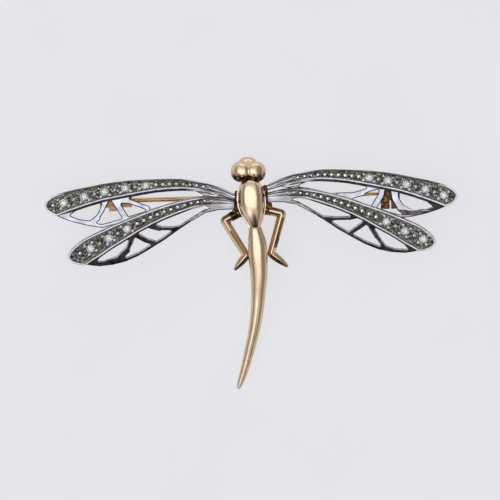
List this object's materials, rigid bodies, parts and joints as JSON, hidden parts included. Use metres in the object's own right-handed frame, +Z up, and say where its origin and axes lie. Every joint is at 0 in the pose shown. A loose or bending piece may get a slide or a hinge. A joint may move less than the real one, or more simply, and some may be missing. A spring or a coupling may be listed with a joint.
{
  "type": "insect brooch",
  "caption": "Dragonfly brooch with two pairs of pierced channel-set wings, egg-shaped thorax, long curved abdomen, hinged pin and open hook catch.",
  "frame": {"origin": "centre of the brooch's bounding box, on the table that it lies on, face up", "axes": "+X runs along the wings to the viewer's right, +Y points to the head, +Z points up, out of the face of the brooch"},
  "size_m": [0.0618, 0.035, 0.007],
  "materials": {
    "yellow_gold": "polished pale yellow gold",
    "white_metal": "polished white metal, darkened in the hollows",
    "diamond": "cut and polished stone",
    "finding_gold": "satin amber-toned gold"
  },
  "bodies": {
    "root": {"body": "yellow_gold", "forewing_left": "white_metal", "forewing_right": "white_metal", "hindwing_left": "white_metal", "hindwing_right": "white_metal", "diamond_fore_left_1": "diamond", "diamond_fore_left_2": "diamond", "diamond_fore_left_3": "diamond", "diamond_fore_left_4": "diamond", "diamond_fore_left_5": "diamond", "diamond_fore_right_1": "diamond", "diamond_fore_right_2": "diamond", "diamond_fore_right_3": "diamond", "diamond_fore_right_4": "diamond", "diamond_fore_right_5": "diamond", "diamond_hind_left_1": "diamond", "diamond_hind_left_2": "diamond", "diamond_hind_left_3": "diamond", "diamond_hind_right_1": "diamond", "diamond_hind_right_2": "diamond", "diamond_hind_right_3": "diamond", "hinge_base": "finding_gold", "hinge_rivet": "finding_gold", "catch_body": "finding_gold"},
    "stem": {"pin_stem": "finding_gold"}
  },
  "joints": [
    {"name": "pin_hinge", "type": "hinge", "parent": "root", "child": "stem", "pos_m": [-0.02087, 0.0108, 0.001], "axis": [-0.027, 0.9996, 0], "range_deg": [0, 55]}
  ]
}
